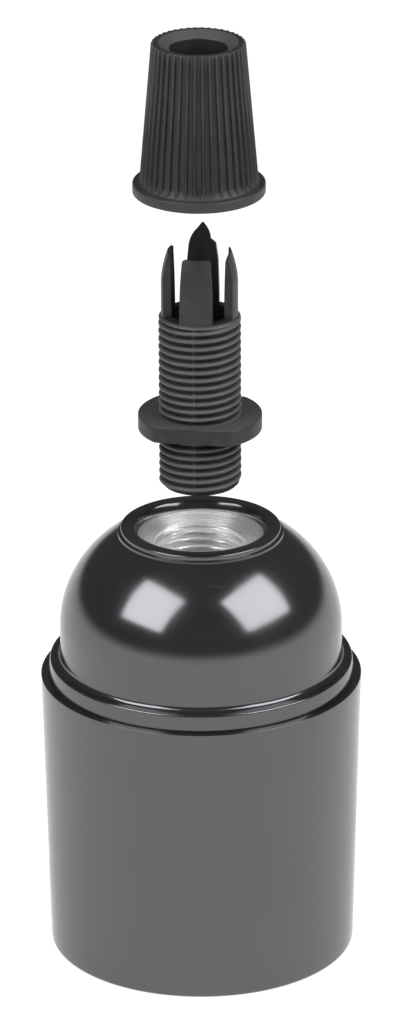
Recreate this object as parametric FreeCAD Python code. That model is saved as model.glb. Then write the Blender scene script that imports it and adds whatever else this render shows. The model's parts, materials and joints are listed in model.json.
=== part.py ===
"""Screw lamp holder with a plain skirt, a domed cap, and a cord grip, laid out one above another on one axis.

Millimetres, +Z up, origin at the centre of the skirt's open rim, which is what the holder stands on.
Every moulded, turned or stamped piece is a solid of its own. Screw threads are left as plain cylinders:
a male thread has its crest diameter, and a female thread the diameter that its crests run in.
"""

import FreeCAD, Part
import math
import os

Vector = FreeCAD.Vector
Z_AXIS = Vector(0, 0, 1)
ORIGIN = Vector(0, 0, 0)

# Skirt: a drafted tube with the lamp's screw bore below and the dome's screw bore above.
SKIRT_HEIGHT = 35.2
SKIRT_FOOT_RADIUS = 18.5
SKIRT_TOP_RADIUS = 19.45
LAMP_BORE_RADIUS = 13.3
LAMP_BORE_LOW = 2.4
LAMP_BORE_HIGH = 16.6
MOUTH_RADIUS = 14.2
CHAMBER_RADIUS = 14.3
LEDGE_HEIGHT = 25.5
NECK_BORE_RADIUS = 16.2

# Dome: ring, ellipse of the shoulder, and the collar round the metal bush.
NECK_RADIUS = 16.05
NECK_INNER_RADIUS = 14.0
NECK_BOTTOM = 28.6
RING_RADIUS = 18.45
RING_HEIGHT = 2.1
DOME_RADIUS = 17.1
DOME_SPRING_HEIGHT = 41.4
DOME_ELLIPSE_CENTRE = 2.04
DOME_RISE = 14.1
DOME_WALL = 3.2
COLLAR_RADIUS = 9.68
COLLAR_FOOT_RADIUS = 10.04
COLLAR_TOP = 54.25
COLLAR_MOUTH_RADIUS = 8.08
BOSS_RADIUS = 9.3
BOSS_BOTTOM = 45.9

# Metal bush with the M10 x 1 thread.
THREAD_BORE_RADIUS = 5.05
THREAD_RADIUS = 4.95
BUSH_TOP = 53.3
BUSH_FLANGE_RADIUS = 7.65
BUSH_FLANGE_THICKNESS = 1.0
BUSH_BODY_RADIUS = 6.7
BUSH_BOTTOM = 46.6
BUSH_FUNNEL_RADIUS = 7.2
BUSH_FUNNEL_DEPTH = 1.45

# Cord grip nipple, drawn lifted off the dome.
NIPPLE_BOTTOM = 59.9
NIPPLE_LOWER_LENGTH = 7.1
NIPPLE_FLANGE_RADIUS = 7.45
NIPPLE_FLANGE_THICKNESS = 2.0
NIPPLE_ACROSS_FLATS = 11.6
NIPPLE_UPPER_LENGTH = 12.7
NIPPLE_BORE_RADIUS = 3.4
NIPPLE_TURN = -9.0
FINGER_RADIUS = 4.6
FINGER_INNER_RADIUS = 3.7
FINGER_TIP_RADIUS = 3.9
FINGER_LENGTH = 8.0
FINGER_WIDTH = 3.95
FINGER_TOP_WIDTH = 3.35
TALL_FINGER_EXTRA = 2.2

# Cord grip cap, drawn lifted off the nipple.
CAP_BOTTOM = 97.1
CAP_HEIGHT = 18.7
CAP_FLANGE_RADIUS = 7.92
CAP_FLANGE_THICKNESS = 1.3
CAP_FOOT_RADIUS = 7.1
CAP_TOP_RADIUS = 5.6
CAP_LIP_RADIUS = 4.6
CAP_HOLE_RADIUS = 3.45
CAP_HOLE_LENGTH = 1.8
CAP_DISH_DEPTH = 0.5
CAP_SQUEEZE_START = 12.9
CAP_FLUTE_COUNT = 40
CAP_FLUTE_DEPTH = 0.3
CAP_PLAIN_RIM = 0.55

# Contact block of glazed ceramic and the metalwork on it.
BLOCK_RADIUS = 15.9
BLOCK_DISC_THICKNESS = 3.0
ISLAND_RADIUS = 13.4
ISLAND_TOP = 30.5
BARRIER_TOP = 35.0
BARRIER_THICKNESS = 2.2
SPRING_THICKNESS = 0.4
RELIEF_DEPTH = 1.2
RELIEF_WIDTH = 6.0
RIVET_RADIUS = 0.9
RIVET_HEAD_RADIUS = 1.7
RIVET_HEAD_HEIGHT = 0.6
CENTRE_HINGE_X = 11.4
CENTRE_RIVET_X = 9.9
SIDE_HINGE_Y = 6.8
SIDE_RIVET_Y = 9.0
BRIDGE_THICKNESS = 0.6
TERMINAL_SIZE = (5.2, 6.6, 3.2)
TERMINAL_X = 5.6
SCREW_SHANK_RADIUS = 1.3
SCREW_HEAD_RADIUS = 2.5
SCREW_HEAD_HEIGHT = 1.7
CLAMP_PLATE_THICKNESS = 0.8


def edge_line(start, end):
    """A straight edge between two (radius, height) points of a half section."""
    return Part.LineSegment(Vector(start[0], 0, start[1]), Vector(end[0], 0, end[1])).toShape()


def edge_arc(start, middle, end):
    """A round edge through three (radius, height) points of a half section."""
    points = [Vector(r, 0, z) for r, z in (start, middle, end)]
    return Part.Arc(*points).toShape()


def edge_ellipse(centre, half_width, rise, first, last):
    """An arc of an upright ellipse round centre, from angle first to angle last in radians."""
    middle = Vector(centre[0], 0, centre[1])
    ellipse = Part.Ellipse(middle + Vector(half_width, 0, 0), middle + Vector(0, 0, rise), middle)
    return Part.ArcOfEllipse(ellipse, first, last).toShape()


def turned(edges):
    """A solid of revolution about Z from the edges of one closed half section."""
    wire = Part.Wire(Part.__sortEdges__(edges))
    return Part.Face(wire).revolve(ORIGIN, Z_AXIS, 360)


def turned_polygon(points):
    """A solid of revolution about Z from the corners of its half section."""
    corners = list(points) + [points[0]]
    return turned([edge_line(a, b) for a, b in zip(corners, corners[1:])])


def cylinder(radius, low, high, x=0.0, y=0.0):
    """An upright cylinder between two heights."""
    return Part.makeCylinder(radius, high - low, Vector(x, y, low), Z_AXIS)


def block(x_range, y_range, z_range):
    """A rectangular solid given by its three ranges."""
    size = [r[1] - r[0] for r in (x_range, y_range, z_range)]
    return Part.makeBox(*size, Vector(x_range[0], y_range[0], z_range[0]))


def spun(shape, degrees):
    """A copy of a shape turned about Z."""
    copy = shape.copy()
    copy.rotate(ORIGIN, Z_AXIS, degrees)
    return copy


def skirt():
    """The moulded skirt: drafted outside, screw bore for the lamp, ledge for the block, bore for the neck."""
    bevel = 0.25
    reach = CHAMBER_RADIUS + 0.5
    tube = turned_polygon(
        [
            (MOUTH_RADIUS, 0),
            (SKIRT_FOOT_RADIUS - bevel, 0),
            (SKIRT_FOOT_RADIUS, bevel),
            (SKIRT_TOP_RADIUS, SKIRT_HEIGHT - bevel / 2),
            (SKIRT_TOP_RADIUS - bevel / 2, SKIRT_HEIGHT),
            (NECK_BORE_RADIUS + 0.4, SKIRT_HEIGHT),
            (NECK_BORE_RADIUS, SKIRT_HEIGHT - 0.4),
            (NECK_BORE_RADIUS, LEDGE_HEIGHT),
            (CHAMBER_RADIUS, LEDGE_HEIGHT),
            (CHAMBER_RADIUS, LAMP_BORE_HIGH + 0.8),
            (LAMP_BORE_RADIUS, LAMP_BORE_HIGH),
            (LAMP_BORE_RADIUS, LAMP_BORE_LOW),
            (MOUTH_RADIUS, LAMP_BORE_LOW - 0.9),
        ]
    )
    pocket = block((-3.4, 3.4), (-reach, reach), (LAMP_BORE_HIGH + 0.2, LEDGE_HEIGHT))
    return tube.cut(pocket)


def dome_outside():
    """Edges of the dome's outer half section, from the neck's foot up to the collar's mouth."""
    ring_high = SKIRT_HEIGHT + RING_HEIGHT
    bevel = 0.2
    hollow = 0.5
    half_width = DOME_RADIUS - DOME_ELLIPSE_CENTRE
    last = math.acos((COLLAR_FOOT_RADIUS - DOME_ELLIPSE_CENTRE) / half_width)
    dome_end = (COLLAR_FOOT_RADIUS, DOME_SPRING_HEIGHT + DOME_RISE * math.sin(last))
    lower = [
        (NECK_RADIUS - 0.5, NECK_BOTTOM),
        (NECK_RADIUS, NECK_BOTTOM + 0.5),
        (NECK_RADIUS, SKIRT_HEIGHT),
        (RING_RADIUS, SKIRT_HEIGHT),
        (RING_RADIUS, ring_high - bevel),
        (RING_RADIUS - bevel, ring_high),
        (DOME_RADIUS + hollow, ring_high),
        (DOME_RADIUS, ring_high + hollow),
        (DOME_RADIUS, DOME_SPRING_HEIGHT),
    ]
    upper = [
        dome_end,
        (COLLAR_RADIUS, dome_end[1] + 0.3),
        (COLLAR_RADIUS, COLLAR_TOP - bevel),
        (COLLAR_RADIUS - bevel, COLLAR_TOP),
        (COLLAR_MOUTH_RADIUS, COLLAR_TOP),
    ]
    edges = [edge_line(a, b) for a, b in zip(lower, lower[1:])]
    edges += [edge_line(a, b) for a, b in zip(upper, upper[1:])]
    centre = (DOME_ELLIPSE_CENTRE, DOME_SPRING_HEIGHT)
    edges.append(edge_ellipse(centre, half_width, DOME_RISE, 0, last))
    return edges


def dome_cap():
    """The moulded dome: screw neck, step ring, shoulder and collar, hollow below with a boss for the bush."""
    half_width = NECK_INNER_RADIUS - 0.3 - DOME_ELLIPSE_CENTRE
    rise = DOME_RISE - DOME_WALL
    boss_angle = math.acos((BOSS_RADIUS - DOME_ELLIPSE_CENTRE) / half_width)
    steps = 3
    vault = []
    for step in range(steps + 1):
        angle = boss_angle * (1 - step / steps)
        height = DOME_SPRING_HEIGHT + rise * math.sin(angle)
        vault.append((DOME_ELLIPSE_CENTRE + half_width * math.cos(angle), height))
    seat = BUSH_TOP - BUSH_FLANGE_THICKNESS
    lip_radius = THREAD_BORE_RADIUS + 0.35
    inside = [
        (COLLAR_MOUTH_RADIUS, COLLAR_TOP),
        (BUSH_FLANGE_RADIUS, BUSH_TOP),
        (BUSH_FLANGE_RADIUS, seat),
        (BUSH_BODY_RADIUS, seat),
        (BUSH_BODY_RADIUS, BUSH_BOTTOM),
        (lip_radius, BUSH_BOTTOM),
        (lip_radius, BOSS_BOTTOM),
        (BOSS_RADIUS, BOSS_BOTTOM),
    ]
    neck_foot = [
        (NECK_INNER_RADIUS, NECK_BOTTOM),
        (NECK_RADIUS - 0.5, NECK_BOTTOM),
    ]
    inside += vault + neck_foot
    edges = dome_outside()
    edges += [edge_line(a, b) for a, b in zip(inside, inside[1:])]
    return turned(edges)


def top_bush():
    """The turned metal bush: flange in the collar, wide funnel and the threaded bore."""
    return turned_polygon(
        [
            (BUSH_FUNNEL_RADIUS, BUSH_TOP),
            (BUSH_FLANGE_RADIUS, BUSH_TOP),
            (BUSH_FLANGE_RADIUS, BUSH_TOP - BUSH_FLANGE_THICKNESS),
            (BUSH_BODY_RADIUS, BUSH_TOP - BUSH_FLANGE_THICKNESS),
            (BUSH_BODY_RADIUS, BUSH_BOTTOM),
            (THREAD_BORE_RADIUS, BUSH_BOTTOM),
            (THREAD_BORE_RADIUS, BUSH_TOP - BUSH_FUNNEL_DEPTH),
        ]
    )


def finger_ring(length):
    """The ring that the fingers are cut from: straight first, then leaning in to a thin tip in two slopes."""
    low = NIPPLE_BOTTOM + NIPPLE_LOWER_LENGTH + NIPPLE_FLANGE_THICKNESS + NIPPLE_UPPER_LENGTH
    root = low - 1.0
    high = low + length
    lean = FINGER_RADIUS - FINGER_TIP_RADIUS
    shoulder = (FINGER_RADIUS, low + 0.5 * FINGER_LENGTH)
    middle = (FINGER_RADIUS - 0.35 * lean, 0.5 * (high + shoulder[1]) + 0.3)
    inner = FINGER_INNER_RADIUS
    tip = (FINGER_TIP_RADIUS, high)
    return turned_polygon([(inner, root), (FINGER_RADIUS, root), shoulder, middle, tip, (inner, high)])


def finger_outline(length, pointed):
    """The face of one finger seen from outside, in the XZ plane: round shoulders or a pointed arch."""
    low = NIPPLE_BOTTOM + NIPPLE_LOWER_LENGTH + NIPPLE_FLANGE_THICKNESS + NIPPLE_UPPER_LENGTH
    half = FINGER_WIDTH / 2
    half_top = FINGER_TOP_WIDTH / 2
    high = low + length
    if pointed:
        spring = (half_top, high - 3.2)
        flank = (0.62 * half_top, high - 1.25)
        apex = (0.0, high)
        right = [
            edge_line((half, low - 1.0), spring),
            edge_arc(spring, (0.9 * half_top, high - 2.1), flank),
            edge_line(flank, apex),
        ]
    else:
        corner = 0.45
        side = (half_top, high - corner)
        bend = (half_top - 0.29 * corner, high - 0.29 * corner)
        top = (half_top - corner, high)
        right = [edge_line((half, low - 1.0), side), edge_arc(side, bend, top)]
        right += [edge_line(top, (0.0, high))]
    mirrored = [e.mirror(ORIGIN, Vector(1, 0, 0)) for e in right]
    foot = edge_line((-half, low - 1.0), (half, low - 1.0))
    return Part.Face(Part.Wire(Part.__sortEdges__(right + mirrored + [foot])))


def finger(length, pointed):
    """One springy finger, at the front of the nipple."""
    face = finger_outline(length, pointed)
    prism = face.extrude(Vector(0, -2 * FINGER_RADIUS, 0))
    return finger_ring(length).common(prism)


def nipple():
    """The moulded nipple: lower thread, flange with two flats, upper thread and four fingers."""
    flange_low = NIPPLE_BOTTOM + NIPPLE_LOWER_LENGTH
    flange_high = flange_low + NIPPLE_FLANGE_THICKNESS
    crown = flange_high + NIPPLE_UPPER_LENGTH
    chamfer = 0.55
    bevel = 0.2
    tube = turned_polygon(
        [
            (NIPPLE_BORE_RADIUS, NIPPLE_BOTTOM),
            (THREAD_RADIUS - chamfer, NIPPLE_BOTTOM),
            (THREAD_RADIUS, NIPPLE_BOTTOM + chamfer),
            (THREAD_RADIUS, crown - chamfer),
            (THREAD_RADIUS - chamfer, crown),
            (NIPPLE_BORE_RADIUS, crown),
        ]
    )
    flange = turned_polygon(
        [
            (NIPPLE_BORE_RADIUS + 0.5, flange_low),
            (NIPPLE_FLANGE_RADIUS - bevel, flange_low),
            (NIPPLE_FLANGE_RADIUS, flange_low + bevel),
            (NIPPLE_FLANGE_RADIUS, flange_high - bevel),
            (NIPPLE_FLANGE_RADIUS - bevel, flange_high),
            (NIPPLE_BORE_RADIUS + 0.5, flange_high),
        ]
    )
    flat = NIPPLE_ACROSS_FLATS / 2
    reach = 2 * NIPPLE_FLANGE_RADIUS
    between_flats = block((-reach, reach), (-flat, flat), (flange_low, flange_high))
    body = tube.fuse(flange.common(between_flats))
    for quarter in range(4):
        tall = quarter == 2
        length = FINGER_LENGTH + (TALL_FINGER_EXTRA if tall else 0.0)
        body = body.fuse(spun(finger(length, tall), 90 * quarter))
    return spun(body.removeSplitter(), NIPPLE_TURN)


def cap_blank():
    """The cap before its flutes: flange, cone, dished top, and the hollow that holds the nipple."""
    top = CAP_BOTTOM + CAP_HEIGHT
    flange_top = CAP_BOTTOM + CAP_FLANGE_THICKNESS
    squeeze = CAP_BOTTOM + CAP_SQUEEZE_START
    hole_high = top - CAP_DISH_DEPTH
    hole_low = hole_high - CAP_HOLE_LENGTH
    rim = 0.35
    return turned_polygon(
        [
            (THREAD_BORE_RADIUS + 0.5, CAP_BOTTOM),
            (CAP_FLANGE_RADIUS - 0.2, CAP_BOTTOM),
            (CAP_FLANGE_RADIUS, CAP_BOTTOM + 0.2),
            (CAP_FLANGE_RADIUS, flange_top - 0.25),
            (CAP_FLANGE_RADIUS - 0.25, flange_top),
            (CAP_FOOT_RADIUS, flange_top),
            (CAP_TOP_RADIUS, top - rim),
            (CAP_TOP_RADIUS - rim, top),
            (CAP_LIP_RADIUS, top),
            (CAP_HOLE_RADIUS, hole_high),
            (CAP_HOLE_RADIUS, hole_low),
            (THREAD_BORE_RADIUS, squeeze),
            (THREAD_BORE_RADIUS, CAP_BOTTOM + 0.5),
        ]
    )


def grip_cap():
    """The moulded cap with a ring of straight flutes down its cone."""
    low = CAP_BOTTOM + CAP_FLANGE_THICKNESS
    high = CAP_BOTTOM + CAP_HEIGHT - CAP_PLAIN_RIM
    lean = (CAP_FOOT_RADIUS - CAP_TOP_RADIUS) / (CAP_HEIGHT - CAP_FLANGE_THICKNESS)
    outlines = []
    for height in (low, high):
        wall = CAP_FOOT_RADIUS - lean * (height - low)
        half = 0.9 * math.pi * wall / CAP_FLUTE_COUNT
        mouth = wall + 0.05
        corners = [(wall - CAP_FLUTE_DEPTH, 0.0), (mouth, half), (mouth, -half)]
        outlines.append(Part.makePolygon([Vector(x, y, height) for x, y in corners + corners[:1]]))
    groove = Part.makeLoft(outlines, True, True)
    step = 360.0 / CAP_FLUTE_COUNT
    grooves = Part.makeCompound([spun(groove, step * (i + 0.5)) for i in range(CAP_FLUTE_COUNT)])
    return cap_blank().cut(grooves)


def ribbon(points, thickness, width):
    """A bent strip: its upper side follows the points, and its lower side lies one thickness square to it."""
    lower = []
    for index, point in enumerate(points):
        before = points[max(index - 1, 0)]
        after = points[min(index + 1, len(points) - 1)]
        direction = Vector(after[0] - before[0], 0, after[1] - before[1]).normalize()
        normal = Vector(direction.z, 0, -direction.x)
        lower.append((point[0] + normal.x * thickness, point[1] + normal.z * thickness))
    ring = list(points) + lower[::-1] + [points[0]]
    face = Part.Face(Part.Wire([edge_line(a, b) for a, b in zip(ring, ring[1:])]))
    solid = face.extrude(Vector(0, width, 0))
    solid.translate(Vector(0, -width / 2, 0))
    return solid


def contact_block():
    """The ceramic block: disc on the skirt's ledge, island, barrier, reliefs for the springs, rivet holes."""
    disc_top = LEDGE_HEIGHT + BLOCK_DISC_THICKNESS
    body = cylinder(BLOCK_RADIUS, LEDGE_HEIGHT, disc_top)
    body = body.fuse(cylinder(ISLAND_RADIUS, disc_top, ISLAND_TOP))
    half = BARRIER_THICKNESS / 2
    barrier = block((-half, half), (-7.0, 7.0), (ISLAND_TOP, BARRIER_TOP))
    body = body.fuse(barrier)
    depth = (LEDGE_HEIGHT, LEDGE_HEIGHT + RELIEF_DEPTH)
    half_width = RELIEF_WIDTH / 2
    reliefs = [
        block((-5.0, CENTRE_HINGE_X), (-half_width, half_width), depth),
        block((-half_width, half_width), (SIDE_HINGE_Y + 0.1, CHAMBER_RADIUS - 0.2), depth),
        block((-half_width, half_width), (-CHAMBER_RADIUS + 0.2, -SIDE_HINGE_Y - 0.1), depth),
    ]
    holes = [
        cylinder(RIVET_RADIUS, LEDGE_HEIGHT, ISLAND_TOP, x, y) for x, y in rivet_places().values()
    ]
    for cutter in reliefs + holes:
        body = body.cut(cutter)
    return body.removeSplitter()


def rivet_places():
    """Centres of the four rivets that hold the metalwork to the block."""
    return {
        "centre_contact_rivet": (CENTRE_RIVET_X, 0.0),
        "neutral_rivet": (-CENTRE_RIVET_X, 0.0),
        "side_rivet_front": (0.0, -SIDE_RIVET_Y),
        "side_rivet_back": (0.0, SIDE_RIVET_Y),
    }


def rivet(place, holds_spring):
    """A rivet through the block, with a head on the metalwork above and on the spring or the block below."""
    x, y = place
    high = ISLAND_TOP + BRIDGE_THICKNESS
    low = LEDGE_HEIGHT - (SPRING_THICKNESS if holds_spring else 0.0)
    shank = cylinder(RIVET_RADIUS, low, high, x, y)
    upper = cylinder(RIVET_HEAD_RADIUS, high, high + RIVET_HEAD_HEIGHT, x, y)
    lower = cylinder(RIVET_HEAD_RADIUS, low - RIVET_HEAD_HEIGHT, low, x, y)
    return shank.fuse([upper, lower]).removeSplitter()


def centre_contact():
    """The centre contact: a flat foot under the block and a tongue that hangs down to a rounded tip."""
    top = LEDGE_HEIGHT
    points = [
        (CENTRE_HINGE_X + 1.0, top),
        (6.6, top),
        (5.6, top - 0.35),
        (1.6, top - 2.6),
        (0.7, top - 3.0),
        (-0.7, top - 3.0),
        (-1.6, top - 2.6),
        (-4.0, top - 1.3),
    ]
    tongue = ribbon(points[::-1], SPRING_THICKNESS, 4.4)
    hole = cylinder(RIVET_RADIUS + 0.25, top - 1.0, top + 1.0, CENTRE_RIVET_X)
    return tongue.cut(hole)


def side_contact():
    """A side contact along +X: foot under the block, then down the wall with a bulge towards the lamp."""
    top = LEDGE_HEIGHT
    points = [
        (SIDE_HINGE_Y - 0.4, top),
        (12.2, top),
        (12.9, top - 0.7),
        (12.9, top - 3.4),
        (12.3, top - 5.6),
        (12.4, top - 6.6),
        (12.9, top - 8.0),
    ]
    tongue = ribbon(points, SPRING_THICKNESS, 4.4)
    hole = cylinder(RIVET_RADIUS + 0.25, top - 1.0, top + 1.0, SIDE_RIVET_Y)
    return tongue.cut(hole)


def neutral_bridge():
    """The flat brass bow on the block that joins both side contacts to the neutral terminal."""
    low = ISLAND_TOP
    high = low + BRIDGE_THICKNESS
    ring = cylinder(SIDE_RIVET_Y + 1.9, low, high).cut(cylinder(SIDE_RIVET_Y - 1.9, low, high))
    bow = ring.common(block((-12.0, 2.4), (-12.0, 12.0), (low, high)))
    inner_edge = TERMINAL_SIZE[0] / 2 - TERMINAL_X
    tab = block((-SIDE_RIVET_Y, inner_edge), (-2.2, 2.2), (low, high))
    bow = bow.fuse(tab)
    for place in list(rivet_places().values())[1:]:
        bow = bow.cut(cylinder(RIVET_RADIUS, low, high, *place))
    return bow.cut(cylinder(SCREW_SHANK_RADIUS + 0.3, low, high, -TERMINAL_X)).removeSplitter()


def terminal_body(side, low):
    """The tapped brass body of a terminal, standing at a height."""
    length, width = TERMINAL_SIZE[:2]
    centre = side * TERMINAL_X
    across = (centre - length / 2, centre + length / 2)
    body = block(across, (-width / 2, width / 2), (low, ISLAND_TOP + TERMINAL_SIZE[2]))
    return body.cut(cylinder(SCREW_SHANK_RADIUS + 0.05, low, ISLAND_TOP + TERMINAL_SIZE[2], centre))


def live_terminal():
    """The live terminal, whose foot reaches out under the rivet of the centre contact."""
    high = ISLAND_TOP + BRIDGE_THICKNESS
    outer_edge = TERMINAL_X + TERMINAL_SIZE[0] / 2
    foot = block((outer_edge, CENTRE_RIVET_X + 2.2), (-2.2, 2.2), (ISLAND_TOP, high))
    foot = foot.cut(cylinder(RIVET_RADIUS, ISLAND_TOP, high, CENTRE_RIVET_X))
    return terminal_body(1, ISLAND_TOP).fuse(foot).removeSplitter()


def neutral_terminal():
    """The neutral terminal, which stands on the tab of the bridge."""
    return terminal_body(-1, ISLAND_TOP + BRIDGE_THICKNESS)


def clamp_plate(side):
    """The square plate that the screw presses on the wire."""
    low = ISLAND_TOP + TERMINAL_SIZE[2]
    centre = side * TERMINAL_X
    plate = block(
        (centre - 2.6, centre + 2.6), (-3.2, 3.2), (low, low + CLAMP_PLATE_THICKNESS)
    )
    hole = cylinder(SCREW_SHANK_RADIUS + 0.3, low, low + CLAMP_PLATE_THICKNESS, centre)
    return plate.cut(hole)


def terminal_screw(side):
    """A cheese-head screw with a slot, standing in its terminal."""
    centre = side * TERMINAL_X
    head_low = ISLAND_TOP + TERMINAL_SIZE[2] + CLAMP_PLATE_THICKNESS
    head_high = head_low + SCREW_HEAD_HEIGHT
    shank = cylinder(SCREW_SHANK_RADIUS, ISLAND_TOP + 0.2, head_low, centre)
    head = cylinder(SCREW_HEAD_RADIUS, head_low, head_high, centre)
    slot = block(
        (centre - 3.0, centre + 3.0), (-0.35, 0.35), (head_high - 0.9, head_high)
    )
    return shank.fuse(head).cut(slot)


def all_parts():
    """Every node of the lamp holder by name."""
    places = rivet_places()
    return {
        "skirt": skirt(),
        "contact_block": contact_block(),
        "centre_contact": centre_contact(),
        "side_contact_front": spun(side_contact(), -90),
        "side_contact_back": spun(side_contact(), 90),
        "centre_contact_rivet": rivet(places["centre_contact_rivet"], True),
        "side_rivet_front": rivet(places["side_rivet_front"], True),
        "side_rivet_back": rivet(places["side_rivet_back"], True),
        "neutral_rivet": rivet(places["neutral_rivet"], False),
        "neutral_bridge": neutral_bridge(),
        "live_terminal": live_terminal(),
        "neutral_terminal": neutral_terminal(),
        "live_clamp_plate": clamp_plate(1),
        "neutral_clamp_plate": clamp_plate(-1),
        "live_screw": terminal_screw(1),
        "neutral_screw": terminal_screw(-1),
        "dome_cap": dome_cap(),
        "top_bush": top_bush(),
        "cord_grip_nipple": nipple(),
        "cord_grip_cap": grip_cap(),
    }


def main():
    """Write one STEP file for each node."""
    os.makedirs("parts", exist_ok=True)
    for name, shape in all_parts().items():
        shape.exportStep("parts/" + name + ".step")
        box = shape.BoundBox
        print(name, len(shape.Solids), shape.isValid(), round(shape.Volume, 1), "mm3, z", round(box.ZMin, 2),
              round(box.ZMax, 2))


main()
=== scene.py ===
"""Looks of the screw lamp holder: moulded skirt and dome, bright bush, cord grip nipple and fluted cap."""

import json
import math

import bpy
import numpy as np
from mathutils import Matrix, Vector


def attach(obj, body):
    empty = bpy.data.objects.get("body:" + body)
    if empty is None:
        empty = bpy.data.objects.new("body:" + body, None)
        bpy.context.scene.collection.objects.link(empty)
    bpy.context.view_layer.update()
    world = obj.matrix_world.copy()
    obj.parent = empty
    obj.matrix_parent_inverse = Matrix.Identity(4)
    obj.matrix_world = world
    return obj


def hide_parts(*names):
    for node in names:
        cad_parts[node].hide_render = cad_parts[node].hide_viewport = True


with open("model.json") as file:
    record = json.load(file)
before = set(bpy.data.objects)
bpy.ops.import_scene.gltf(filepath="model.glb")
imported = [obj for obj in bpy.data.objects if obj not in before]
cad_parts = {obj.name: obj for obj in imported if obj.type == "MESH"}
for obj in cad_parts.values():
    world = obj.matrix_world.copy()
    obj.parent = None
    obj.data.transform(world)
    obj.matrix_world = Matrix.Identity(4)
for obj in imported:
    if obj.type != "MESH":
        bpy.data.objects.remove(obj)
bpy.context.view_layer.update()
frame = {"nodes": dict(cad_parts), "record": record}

MM = 0.001
TURN = 2 * math.pi

# Skirt and dome, in millimetres.
SKIRT_HEIGHT = 35.2
SKIRT_FOOT = 18.5
SKIRT_TOP = 19.45
LAMP_BORE = 13.3
LAMP_BORE_LOW = 2.4
LAMP_BORE_HIGH = 16.6
LAMP_THREAD_PITCH = 3.629
LAMP_THREAD_DEPTH = 0.9
LAMP_THREAD_FADE = 0.7
MOUTH = 14.2
MOUTH_FLARE = 0.9
CHAMBER = 14.3
CHAMBER_FLARE = 0.8
POCKET_HALF = 3.4
POCKET_DEPTH = 0.5
LEDGE = 25.5
NECK_BORE = 16.2
NECK = 16.05
NECK_INNER = 14.0
NECK_BOTTOM = 28.6
NECK_PITCH = 3.0
NECK_CREST = 0.25
NECK_CHAMFER = 0.4
NECK_GROOVE_IN_SKIRT = 0.5
NECK_GROOVE_IN_DOME = 0.55
NECK_THREAD_LOW = LEDGE + 3.0
RING = 18.45
RING_TOP = 37.3
RING_FOOT_OUT = 0.14
RING_TOP_IN = 0.1
DOME = 17.1
DOME_SPRING = 41.4
DOME_CENTRE = 2.04
DOME_RISE = 14.1
DOME_WALL = 3.2
COLLAR = 9.68
COLLAR_FOOT = 10.04
COLLAR_TOP = 54.25
COLLAR_MOUTH = 8.08
BOSS = 9.3
BOSS_BOTTOM = 45.9
BOSS_HOLE_MARGIN = 0.35
MOULDING_SEGMENTS = 288

# Bush, nipple and cap.
CORD_PITCH = 1.0
CORD_DEPTH = 0.58
BORE = 5.05
CREST = 4.95
BUSH_TOP = 53.3
BUSH_FLANGE = 7.65
BUSH_FLANGE_HEIGHT = 1.0
BUSH_BODY = 6.7
BUSH_BOTTOM = 46.6
BUSH_FUNNEL = 7.2
BUSH_FUNNEL_DEPTH = 1.45
NIPPLE_BOTTOM = 59.9
FLANGE_LOW = 67.0
FLANGE_HIGH = 69.0
FLANGE = 7.45
FLANGE_ROOT = 4.0
FLANGE_LIFT = 0.03
HALF_FLATS = 5.8
FLAT_BEVEL = 0.22
CROWN = 81.7
NIPPLE_BORE = 3.4
FOOT_CHAMFER = 0.55
CROWN_CHAMFER = 0.4
NIPPLE_TURN = math.radians(-9.0)
FINGER_TURN = math.radians(-6.5)
SEAM = math.radians(-99.0)
SEAM_HALF = 0.13
FINGER = 4.6
FINGER_INNER = 3.7
FINGER_TIP = 3.8
FINGER_LENGTH = 8.0
FINGER_HALF = 1.975
FINGER_HALF_TOP = 1.675
FINGER_EDGE = 0.12
TALL_EXTRA = 2.2
CAP_BOTTOM = 97.1
CAP_TOP = 115.8
CAP_FLANGE = 7.92
CAP_FLANGE_HEIGHT = 1.3
CAP_FOOT = 7.1
CAP_HEAD = 5.6
CAP_LIP = 4.6
CAP_LIP_EXTRA = 0.15
CAP_HOLE = 3.45
CAP_HOLE_LENGTH = 1.8
CAP_DISH = 0.5
CAP_DISH_EXTRA = 0.3
CAP_SQUEEZE = 12.9
CAP_THREAD_DEPTH = 0.5
CAP_THREAD_LENGTH = 9.6
FLUTES = 40
FLUTE_DEPTH = 0.42
FLUTE_ROWS = 14


# ---------------------------------------------------------------- surfaces

def outward(points, faces):
    """Faces turned so that the closed surface has a positive volume."""
    corners = points[faces]
    volume = np.einsum("ij,ij->", corners[:, 0], np.cross(corners[:, 1], corners[:, 2]))
    volume += np.einsum("ij,ij->", corners[:, 0], np.cross(corners[:, 2], corners[:, 3]))
    return faces[:, ::-1] if volume < 0 else faces


def mesh_piece(name, vertices, faces, body, nodes):
    """A smooth-shaded mesh object in metres from points in millimetres, its faces turned outwards."""
    vertices = np.asarray(vertices, dtype=np.float64) * MM
    faces = outward(vertices, np.asarray(faces, dtype=np.int64))
    mesh = bpy.data.meshes.new(name)
    mesh.from_pydata(vertices.tolist(), [], faces.tolist())
    mesh.validate()
    mesh.shade_smooth()
    piece = bpy.data.objects.new(name, mesh)
    bpy.context.scene.collection.objects.link(piece)
    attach(piece, body)
    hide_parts(*nodes)
    return piece


def sharpen(piece, degrees):
    """Edges that turn by more than an angle are marked sharp, so flats meet in a crisp line."""
    piece.data.set_sharp_from_angle(angle=math.radians(degrees))


def ring_faces(rows, columns, start=0):
    """Quads of a grid of rows by columns that closes on itself both ways."""
    i, j = np.meshgrid(np.arange(rows), np.arange(columns), indexing="ij")
    a = i * columns + j
    b = i * columns + (j + 1) % columns
    c = ((i + 1) % rows) * columns + (j + 1) % columns
    d = ((i + 1) % rows) * columns + j
    return np.stack([a, b, c, d], axis=-1).reshape(-1, 4) + start


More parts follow.
